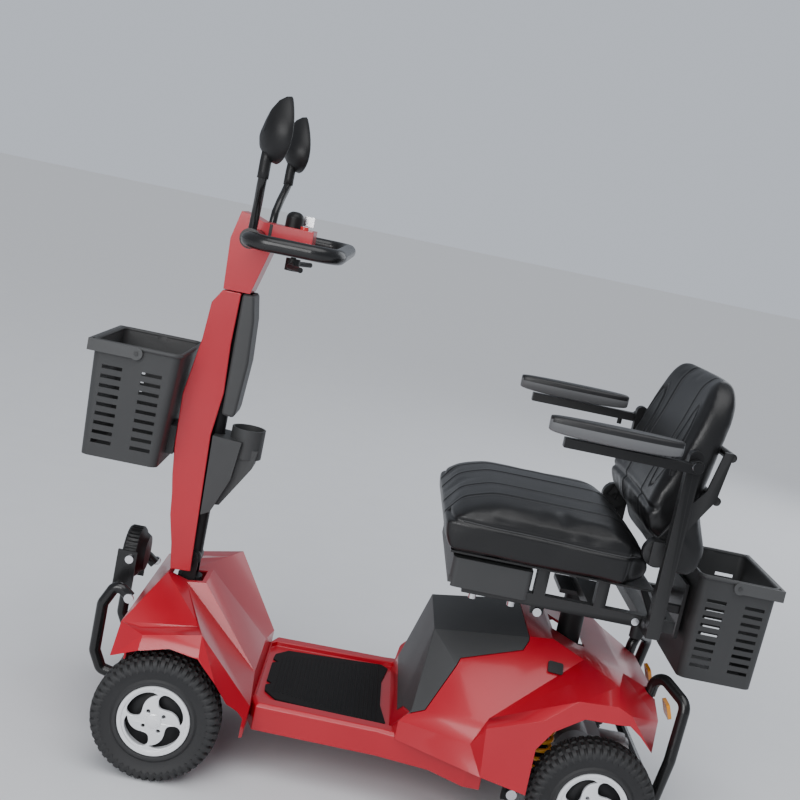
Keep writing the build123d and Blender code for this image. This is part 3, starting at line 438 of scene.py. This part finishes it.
def make_rim(end, side_name, x):
    """A rim with its face and hub, and a dark backing disc behind the windows that paints the shade seen
    through them.
    """
    side = SIDES[side_name]
    y = side * WHEEL_Y
    node = f"rim_{end}_{side_name}"
    section = [(r, side * w) for r, w in RIM_SECTION]
    bm = weld(lathe((x, y, AXLE_Z), section, 96))
    join(bm, spoke_disc(node, x, y + side * DISC_Y, side))
    hub = [(r, side * w) for r, w in HUB_SECTION]
    join(bm, weld(lathe((x, y, AXLE_Z), hub, 48)))
    piece = piece_from(f"{node}_swirl", bm, node)
    dark = [(r, side * w) for r, w in BACKING_SECTION]
    backing = piece_from(f"{node}_backing", weld(lathe((x, y, AXLE_Z), dark, 64)), node)
    # the backing is painted shade seen through the windows
    backing.data.materials[0] = WINDOW_PAINTED_SHADE
    sharpened(piece, 40)
    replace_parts(piece, node)


for side_name in SIDES:
    for end, x in (("front", -AXLE_X), ("rear", AXLE_X)):
        make_tyre(end, side_name, x)
        make_rim(end, side_name, x)

# ---------------------------------------------------------------- shells that keep their CAD facets

softened("front_shroud", 4, 26)
softened("rear_body", 4, 31)
softened("battery_cover", 6, 30)
softened("floor_pan", 4)
softened("tiller_shell", 9, 30)
softened("tiller_head", 7, 30)
softened("seat_box", 4)
softened("tiller_pad", 9, 24)
softened("cup_holder", 4, 20)
softened("front_basket", 1.2, 30)
softened("rear_basket", 1.2, 30)
for node in ("seat_frame", "backrest_frame", "armrest_arm_left", "armrest_arm_right"):
    softened(node, 1.6, 30)


# ---------------------------------------------------------------- padded pieces

VOXEL = 6
CLOTH_STEPS = 20


def evaluated(piece):
    """The piece as its modifiers leave it."""
    return piece.evaluated_get(bpy.context.evaluated_depsgraph_get())


def apply_modifiers(piece):
    """Keep the mesh that the modifiers make, and drop them."""
    mesh = bpy.data.meshes.new_from_object(evaluated(piece))
    piece.modifiers.clear()
    piece.data = mesh


def padded(node, shape, smooth):
    """A soft body with an even mesh, from the room its CAD solid takes."""
    piece = bpy.data.objects.new(f"{node}_padded", nodes[node].data.copy())
    bpy.context.scene.collection.objects.link(piece)
    remesh = piece.modifiers.new("Remesh", "REMESH")
    remesh.mode = "VOXEL"
    remesh.voxel_size = VOXEL / 1000
    relax = piece.modifiers.new("Smooth", "SMOOTH")
    relax.iterations = smooth
    relax.factor = 0.5
    apply_modifiers(piece)
    solid = piece.data
    for vert in solid.vertices:
        vert.co = shape(vert.co)
    solid.materials.clear()
    solid.materials.append(FINISH[slot_of[node]])
    solid.polygons.foreach_set("use_smooth", [True] * len(solid.polygons))
    return piece


def inflate(piece, cap):
    """Swell the piece as cloth under pressure, and limit how far each point moves, in metres."""
    cloth = piece.modifiers.new("Cloth", "CLOTH")
    cloth.settings.use_pressure = True
    cloth.settings.uniform_pressure_force = 4.0
    cloth.settings.effector_weights.gravity = 0
    cloth.settings.tension_stiffness = 12
    cloth.settings.bending_stiffness = 0.4
    count = len(piece.data.vertices) * 3
    before = np.zeros(count)
    piece.data.vertices.foreach_get("co", before)
    scene = bpy.context.scene
    cloth.point_cache.frame_start = 1
    cloth.point_cache.frame_end = CLOTH_STEPS
    for step in range(1, CLOTH_STEPS + 1):
        scene.frame_set(step)
    after = np.zeros(count)
    evaluated(piece).data.vertices.foreach_get("co", after)
    piece.modifiers.clear()
    moved = (after - before).reshape(-1, 3)
    length = np.linalg.norm(moved, axis=1, keepdims=True)
    moved *= np.minimum(1.0, cap / np.maximum(length, 1e-9))
    piece.data.vertices.foreach_set("co", (before.reshape(-1, 3) + moved).ravel())
    piece.data.update()
    scene.frame_set(1)
    relax = piece.modifiers.new("Relax", "SMOOTH")
    relax.iterations = 10
    relax.factor = 0.5
    apply_modifiers(piece)


def finish_pad(piece, node, push):
    """Refine the swollen surface once, and sink its seams along the normals."""
    refine = piece.modifiers.new("Refine", "SUBSURF")
    refine.levels = 1
    refine.render_levels = 1
    apply_modifiers(piece)
    normals = [vert.normal.copy() for vert in piece.data.vertices]
    for vert, normal in zip(piece.data.vertices, normals):
        vert.co += normal * push(vert.co, normal) / 1000
    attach(piece, body_of(node))
    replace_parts(piece, node)


def groove(distance, width, depth):
    """A sewn line: a narrow valley with a soft shoulder, in millimetres."""
    t = abs(distance) / width
    return -depth * math.exp(-t * t * 1.4) + 0.25 * depth * math.exp(-((t - 2.2) ** 2))


SEAT_LOW, SEAT_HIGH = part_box("seat_cushion")
SEAT_MID = (SEAT_LOW + SEAT_HIGH) / 2
SEAT_SEAMS = (60, 140)
SEAM_WIDTH = 3.5


def seat_shape(co):
    """Round the plan corners and crown the top, with a rolled front edge."""
    low, high, mid = SEAT_LOW, SEAT_HIGH, SEAT_MID
    u = (co.x - mid.x) / (high.x - mid.x)
    v = (co.y - mid.y) / (high.y - mid.y)
    w = (co.z - low.z) / (high.z - low.z)
    corner = max(0.0, abs(u) ** 5 + abs(v) ** 5 - 1.0)
    pull = 1 - 0.03 * corner
    waist = 1 - 0.015 * (2 * w - 0.8) ** 2
    crown = 1 - 0.14 * abs(v) ** 4 * w
    front = 1 - 0.10 * max(0.0, -u) ** 4 * w
    return Vector((
        mid.x + (co.x - mid.x) * pull * waist,
        mid.y + (co.y - mid.y) * pull * waist,
        low.z + (co.z - low.z) * crown * front * 0.965,
    ))


def welt_height(x):
    """Height of the sewn edge along the seat's side."""
    return 571 - 0.02 * (x - 230)


def seat_seams(co, normal):
    """Depth of the seat's seams at a point."""
    x, y, z = co.x * 1000 + ORIGIN_X, co.y * 1000, co.z * 1000
    push = 0.0
    if normal.z > 0.1:
        for seam in SEAT_SEAMS:
            push += groove(abs(y) - seam, SEAM_WIDTH, 2.2)
    if abs(y) > 150 and normal.z < 0.9:
        push += groove(z - welt_height(x), SEAM_WIDTH, 3.0)
    return push


seat = padded("seat_cushion", seat_shape, smooth=12)
inflate(seat, cap=0.008)
finish_pad(seat, "seat_cushion", seat_seams)

BACK_TOP = 918
BACK_HALF = 212
SHOULDER_Z = 745
FOOT_Z = 680


def back_shape(co):
    """Round shoulders, wings at the sides and a narrower foot."""
    z = co.z * 1000
    y = co.y * 1000
    over = min(1.0, max(0.0, (z - SHOULDER_Z) / (BACK_TOP - SHOULDER_Z)))
    width = 0.56 + 0.43 * (1 - over ** 2.8) ** 0.5
    foot = min(1.0, max(0.0, (FOOT_Z - z) / 130))
    width = min(width, 0.99) * (1 - 0.05 * foot)
    wing = abs(y / BACK_HALF) ** 2.5
    return Vector((co.x - 0.014 * wing * (1 - foot), co.y * width, co.z))


BACK_SEAM = 78
WAIST_SEAM_Z = 662
# Outline of the backrest's side insert: (height, distance from the middle).
LEAF = [(690, 122), (720, 112), (760, 112), (800, 116), (835, 122), (852, 134), (846, 150), (815, 164),
        (770, 172), (730, 168), (700, 150), (690, 122)]


def leaf_distance(y, z):
    """How far a point of the back is from the outline of its side insert."""
    point = Vector((z, y))
    best = 1e9
    for start, end in zip(LEAF, LEAF[1:]):
        p, q = Vector(start), Vector(end)
        t = min(1.0, max(0.0, (point - p).dot(q - p) / (q - p).length_squared))
        best = min(best, (point - p.lerp(q, t)).length)
    return best


def back_seams(co, normal):
    """Depth of the backrest's seams at a point."""
    y, z = co.y * 1000, co.z * 1000
    push = 0.0
    if normal.x < -0.15:
        if z > 600:
            push += groove(abs(y) - BACK_SEAM, SEAM_WIDTH, 2.0)
        push += groove(z - WAIST_SEAM_Z, 5, 3.5)
        if 670 < z < 870 and abs(y) > 95:
            push += groove(leaf_distance(abs(y), z), SEAM_WIDTH, 2.6)
    return push


back = padded("backrest_cushion", back_shape, smooth=18)
inflate(back, cap=0.007)
finish_pad(back, "backrest_cushion", back_seams)


CORD_STEP = 7
AHEAD_OF_BACK = 300


def piping(name, cushion, node, starts, radius):
    """A sewn cord laid on the cushion's surface, found by looking along a direction from each start."""
    tree = BVHTree.FromObject(cushion, bpy.context.evaluated_depsgraph_get())
    points = []
    for origin, direction in starts:
        hit, normal, _, _ = tree.ray_cast(origin, Vector(direction))
        if hit is not None:
            points.append(hit + normal * 0.0002)
    if len(points) < 3:
        return
    cord = piece_from(name, sweep(points, radius, sides=6), node)
    # the cord's lighter grey is a painted highlight along the seam
    cord.data.materials[0] = PIPING_HIGHLIGHT_GREY


for side_name, side in SIDES.items():
    for seam in SEAT_SEAMS:
        top_line = [(at(40 + CORD_STEP * i, side * seam, 700), (0, 0, -1)) for i in range(54)]
        piping(f"seat_piping_{side_name}_{seam}", seat, "seat_cushion", top_line, 1.0)
    side_line = []
    for i in range(47):
        x = 70 + CORD_STEP * i
        side_line.append((at(x, side * 300, welt_height(x)), (0, -side, 0)))
    piping(f"seat_welt_{side_name}", seat, "seat_cushion", side_line, 1.6)
    back_line = []
    for i in range(41):
        back_line.append((at(AHEAD_OF_BACK, side * BACK_SEAM, 612 + CORD_STEP * i), (1, 0, 0)))
    piping(f"back_piping_{side_name}", back, "backrest_cushion", back_line, 1.1)
    leaf_line = []
    for (z0, y0), (z1, y1) in zip(LEAF, LEAF[1:]):
        for k in range(5):
            y, z = y0 + (y1 - y0) * k / 5, z0 + (z1 - z0) * k / 5
            leaf_line.append((at(AHEAD_OF_BACK, side * y, z), (1, 0, 0)))
    piping(f"back_leaf_{side_name}", back, "backrest_cushion", leaf_line, 1.1)


PAD_STEPS = 40
PAD_SIDES = 28


def make_pad(side_name):
    """Armrest pad: a boat-shaped grey body under a soft black top."""
    node = f"armrest_pad_{side_name}"
    low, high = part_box(node)
    middle_y = (low.y + high.y) / 2
    length, width, height = high - low
    seam = low.z + height * 0.63
    loops = []
    for i in range(PAD_STEPS + 1):
        along = 0.5 - 0.5 * math.cos(math.pi * i / PAD_STEPS)
        plan = max(0.02, math.sin(math.pi * along) ** 0.22)
        half = width / 2 * (0.86 + 0.14 * along) * plan
        keel = 0.55 + 0.45 * max(0.0, math.sin(math.pi * along)) ** 0.3
        loop = []
        for k in range(PAD_SIDES):
            a = 2 * math.pi * k / PAD_SIDES
            ca, sa = math.cos(a), math.sin(a)
            y = math.copysign(abs(ca) ** 0.45, ca) * half
            z = math.copysign(abs(sa) ** 0.5, sa)
            up = height * (0.36 * z * plan ** 0.3 if z > 0 else 0.62 * z * keel)
            tuck = 1 if z > -0.5 else 0.86
            loop.append(Vector((low.x + length * along, middle_y + y * tuck, seam + up)))
        loops.append(loop)
    piece = piece_from(f"{node}_moulded", rings(loops), node, extra=(RIM_DARK,))
    split = low.z + height * 0.70
    for face in piece.data.polygons:
        if face.center.z > split:
            face.material_index = 1
    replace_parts(piece, node)


for side_name in SIDES:
    make_pad(side_name)

# ---------------------------------------------------------------- mirrors

MIRROR_TURN = math.radians(24)
MIRROR_STEPS = 40
MIRROR_X = -394
MIRROR_Y = 218
# Each ring of the shell: its scale and its share of the head's depth.
MIRROR_LAYERS = ((0.88, 0.14), (0.90, 0.02), (0.97, 0.0), (1.0, 0.06), (0.97, 0.28), (0.84, 0.58),
                 (0.60, 0.84), (0.30, 0.97), (0.05, 1.0))


def leaf_outline(side_name, scale, depth_share):
    """One ring of the mirror head: pointed at the top, full below the middle."""
    side = SIDES[side_name]
    low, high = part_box(f"mirror_head_{side_name}")
    pivot = at(MIRROR_X, side * MIRROR_Y, 1120)
    turn = Matrix.Translation(pivot) @ Matrix.Rotation(MIRROR_TURN, 4, "Z") @ Matrix.Translation(-pivot)
    loop = []
    for k in range(MIRROR_STEPS):
        a = 2 * math.pi * (k + 0.5) / MIRROR_STEPS
        u = 0.5 - 0.5 * math.cos(a)
        half = math.sin(math.pi * u ** 0.72) ** 0.8 * (high.y - low.y) / 2
        v = math.copysign(1, math.sin(a))
        z = low.z + (high.z - low.z) * (0.42 + (u - 0.42) * scale)
        y = (low.y + high.y) / 2 + side * (u - 0.4) * 0.018 + half * v * scale
        loop.append(turn @ Vector((high.x - (high.x - low.x) * depth_share, y, z)))
    return loop


def make_mirror(side_name):
    """A leaf-shaped shell with a rounded back, a rubber neck and a recessed glass."""
    side = SIDES[side_name]
    node = f"mirror_head_{side_name}"
    bm = rings([leaf_outline(side_name, scale, share) for scale, share in MIRROR_LAYERS])
    neck = []
    for dx, dy, z in ((0, 0, 1092), (0, 0, 1104), (0, 1, 1122), (1, 2, 1146)):
        neck.append(at(MIRROR_X + dx, side * (MIRROR_Y + dy), z))
    join(bm, sweep(neck, 10, sides=20))
    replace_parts(piece_from(f"{node}_leaf", bm, node), node)
    glass = rings([leaf_outline(side_name, 0.875, 0.07), leaf_outline(side_name, 0.875, 0.11)])
    pane = piece_from(f"mirror_glass_{side_name}_leaf", glass, f"mirror_glass_{side_name}", smooth=False)
    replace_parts(pane, f"mirror_glass_{side_name}")


# Middle line of a mirror's stalk, from its clamp on the handlebar to the neck.
STALK = [(-404, 150, 988), (-403, 152, 1012), (-402, 156, 1034), (-399, 178, 1058), (-396, 204, 1078),
         (MIRROR_X, 217, 1092), (MIRROR_X, MIRROR_Y, 1108)]
CLAMP_R = 18.5


def make_stalk(side_name):
    """A bent stalk on a round clamp."""
    side = SIDES[side_name]
    bm = bmesh.new()
    join(bm, sweep([at(x, side * y, z) for x, y, z in STALK], 8, sides=20))
    collar = [at(-404, side * (150 + dy), 985) for dy in (-11, -9, 9, 11)]
    join(bm, sweep(collar, CLAMP_R, sides=32))
    stalk = piece_from(f"mirror_stalk_{side_name}", bm, "mirror_stalks")
    sharpened(stalk, 40)
    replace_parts(stalk, "mirror_stalks")


for side_name in SIDES:
    make_mirror(side_name)
for side_name in SIDES:
    make_stalk(side_name)

# ---------------------------------------------------------------- springs, headlight, mat and small parts

SPRING_X = 304
SPRING_Y = 186
SPRING_LOW, SPRING_HIGH = 105, 249
COIL_R = 17
COILS = 8
COIL_STEPS = 24
# The two halves of the strut inside a spring: (name, low end, high end, radius, finish, body).
STRUT = (("rod", 150, 248, 5, "frame_bolts", "chassis"),
         ("damper", 106, 190, 10, "seat_frame", "rear_suspension"))


def make_spring(side_name):
    """A coil between the swing arm and the chassis, round a strut in two halves."""
    y = SIDES[side_name] * SPRING_Y
    rise = SPRING_HIGH - SPRING_LOW - 10
    points = []
    for i in range(COILS * COIL_STEPS + 1):
        a = 2 * math.pi * i / COIL_STEPS
        z = SPRING_LOW + 5 + i / (COILS * COIL_STEPS) * rise
        points.append(at(SPRING_X + COIL_R * math.cos(a), y + COIL_R * math.sin(a), z))
    spring = piece_from(f"rear_spring_{side_name}", sweep(points, 4.2, sides=10), "rear_springs", body=False)
    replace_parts(spring, "rear_springs")
    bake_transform(spring)
    for part, low, high, radius, like, body in STRUT:
        middle = [at(SPRING_X, y, z) for z in (low + 0.5, low + 2, high - 2, high - 0.5)]
        half = piece_from(f"rear_{part}_{side_name}", sweep(middle, radius, sides=20), like, body=body)
        sharpened(half, 40)


for side_name in SIDES:
    make_spring(side_name)

LIGHT_Z = 330


def turned(profile, steps, wave):
    """Turn a profile of (radius, x) about the headlight's axis, with a radius changed by its step."""
    loops = []
    for i in range(steps):
        a = 2 * math.pi * i / steps
        loop = []
        for radius, x in profile:
            r = radius + wave(i, radius, x)
            loop.append(at(x, r * math.cos(a), LIGHT_Z + r * math.sin(a)))
        loops.append(loop)
    return weld(rings([*loops, loops[0]], closed_ends=False))


def cooling_ribs(i, radius, x):
    """Depth between the ribs at a step round the housing."""
    return -2.2 if radius > 46 and i % 4 < 2 and -546 < x < -524 else 0


HOUSING = [(43, -549.5), (47, -550), (50, -546), (50, -541), (50, -530), (50, -524), (46, -520), (40, -517),
           (34, -508), (8, -507), (0.5, -507), (0.5, -511), (30, -512), (36, -521), (42, -526), (43, -538)]
headlight = piece_from("headlight_housing_ribbed", turned(HOUSING, 144, cooling_ribs), "headlight_housing")
sharpened(headlight, 35)
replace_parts(headlight, "headlight_housing")

MAT_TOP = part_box("foot_mat")[1].z * 1000
MAT_RIBS = 24
RIB_PITCH = 8.6
RIB_HALF = 2.4


def make_mat_ribs():
    """Cross ribs on the foot mat, longer towards its wide rear half."""
    bm = bmesh.new()
    for row in range(MAT_RIBS):
        x = -205 + row * RIB_PITCH
        half = 92 + 56 * min(1.0, max(0.0, (x + 215) / 215))
        corners = []
        for dz, inset in ((-0.4, 0.0), (1.1, 0.8)):
            corners.append([at(x + sx * (RIB_HALF - inset), sy * (half - inset), MAT_TOP + dz)
                            for sx, sy in ((-1, -1), (1, -1), (1, 1), (-1, 1))])
        join(bm, rings(corners))
    piece_from("foot_mat_ribs", bm, "foot_mat", smooth=False)


make_mat_ribs()

BASKET_HALF = 118
BASKET_CORNER = 16
RIM_WIRE_R = 4.2


def make_basket_rim(node, low_x, high_x, z):
    """A wire with rounded corners round the mouth of a basket."""
    left, right = -BASKET_HALF + BASKET_CORNER, BASKET_HALF - BASKET_CORNER
    front, rear = low_x + BASKET_CORNER, high_x - BASKET_CORNER
    path = []
    for cx, cy, start in ((rear, right, 0), (front, right, 90), (front, left, 180), (rear, left, 270)):
        for step in range(7):
            a = math.radians(start + 15 * step)
            path.append(at(cx + BASKET_CORNER * math.cos(a), cy + BASKET_CORNER * math.sin(a), z))
    piece_from(f"{node}_rim", sweep(path, RIM_WIRE_R, sides=10, closed=True), node)


make_basket_rim("front_basket", -655, -493, 745)
make_basket_rim("rear_basket", 539, 691, 538)


# ---------------------------------------------------------------- trim

def bolt_head(name, place, axis, radius, like, body):
    """A domed screw head with a socket, on a face."""
    axis = Vector(axis).normalized()
    across = axis.orthogonal().normalized()
    third = axis.cross(across)
    loops = []
    for r, h in ((radius, 0), (radius, 1.2), (radius * 0.8, 2.6), (radius * 0.45, 3.0), (radius * 0.42, 1.4)):
        loop = []
        for k in range(24):
            a = 2 * math.pi * k / 24
            loop.append(place + (across * math.cos(a) + third * math.sin(a)) * r / 1000 + axis * h / 1000)
        loops.append(loop)
    piece_from(name, rings(loops), like, body=body)


CONSOLE_STRIPE = [(-386, 987), (-380, 987), (-380, 1014), (-386, 1014)]
CONSOLE_HALF = 45

for side_name, side in SIDES.items():
    bolt_head(f"armrest_cap_{side_name}", at(436, side * 277.5, 762), (0, side, 0), 8, "frame_bolts",
              body_of(f"armrest_arm_{side_name}"))
    faces = [[at(x, side * (CONSOLE_HALF + dy), z) for x, z in CONSOLE_STRIPE] for dy in (-0.4, 0.35)]
    stripe = piece_from(f"console_stripe_{side_name}", rings(faces), "tiller_head", smooth=False)
    stripe.data.materials[0] = RIM_DARK

# ---------------------------------------------------------------- floor, light and camera

FLOOR_SIZE = 120
SKY_ON_OBJECT = 0.38
SKY_TO_CAMERA = 0.7

bpy.ops.mesh.primitive_plane_add(size=FLOOR_SIZE, location=(0, 0, 0))
floor = bpy.context.object
floor.name = "floor"
pale = material("floor_pale", (0.72, 0.73, 0.75), 0.7, grain=30, depth=0.02, mottle=0.02)
floor.data.materials.append(pale)

world = bpy.data.worlds.new("studio")
world.use_nodes = True
sky = world.node_tree.nodes["Background"]
sky.inputs["Color"].default_value = (0.84, 0.9, 1.0, 1)
to_camera = world.node_tree.nodes.new("ShaderNodeLightPath").outputs["Is Camera Ray"]
strength = world.node_tree.nodes.new("ShaderNodeMapRange")
strength.inputs["To Min"].default_value = SKY_ON_OBJECT
strength.inputs["To Max"].default_value = SKY_TO_CAMERA
link(world.node_tree, to_camera, strength.inputs["Value"])
link(world.node_tree, strength.outputs["Result"], sky.inputs["Strength"])
bpy.context.scene.world = world


def area_light(name, place, target, size, power, colour=(1, 1, 1)):
    """A square lamp in metres and watts, aimed at a point."""
    light = bpy.data.lights.new(name, "AREA")
    light.size = size
    light.energy = power
    light.color = colour
    holder = bpy.data.objects.new(name, light)
    bpy.context.scene.collection.objects.link(holder)
    holder.location = place
    direction = Vector(target) - Vector(place)
    holder.rotation_euler = direction.to_track_quat("-Z", "Y").to_euler()


area_light("key", (-1.4, -3.4, 1.9), (0, 0, 0.4), 2.2, 95)

sun = bpy.data.lights.new("sun", "SUN")
sun.energy = 1.5
sun.angle = math.radians(50)
sun_holder = bpy.data.objects.new("sun", sun)
bpy.context.scene.collection.objects.link(sun_holder)
sun_holder.rotation_euler = (math.radians(22), math.radians(8), 0)

area_light("back", (2.6, 2.8, 2.2), (0, 0.4, 0.3), 3.0, 40, (0.93, 0.96, 1.0))

# The camera stands to the driver's left, looks down and across, and is rolled.
CAMERA_PLACE = at(-135.5, -2309, 1080.4)
FOCAL_LENGTH = 54.17
SENSOR_WIDTH = 36
PITCH, ROLL, YAW = math.radians(8.585), math.radians(11.833), math.radians(1.353)
ahead = Vector((math.sin(YAW) * math.cos(PITCH), math.cos(YAW) * math.cos(PITCH), -math.sin(PITCH)))
level = Vector((math.cos(YAW), -math.sin(YAW), 0))
rise = level.cross(ahead)
right = level * math.cos(ROLL) + rise * math.sin(ROLL)
up = rise * math.cos(ROLL) - level * math.sin(ROLL)
lens = bpy.data.cameras.new("camera")
lens.lens = FOCAL_LENGTH
lens.sensor_width = SENSOR_WIDTH
camera = bpy.data.objects.new("camera", lens)
bpy.context.scene.collection.objects.link(camera)
turn = Matrix((right, up, -ahead)).transposed().to_4x4()
camera.matrix_world = Matrix.Translation(CAMERA_PLACE) @ turn
bpy.context.scene.camera = camera
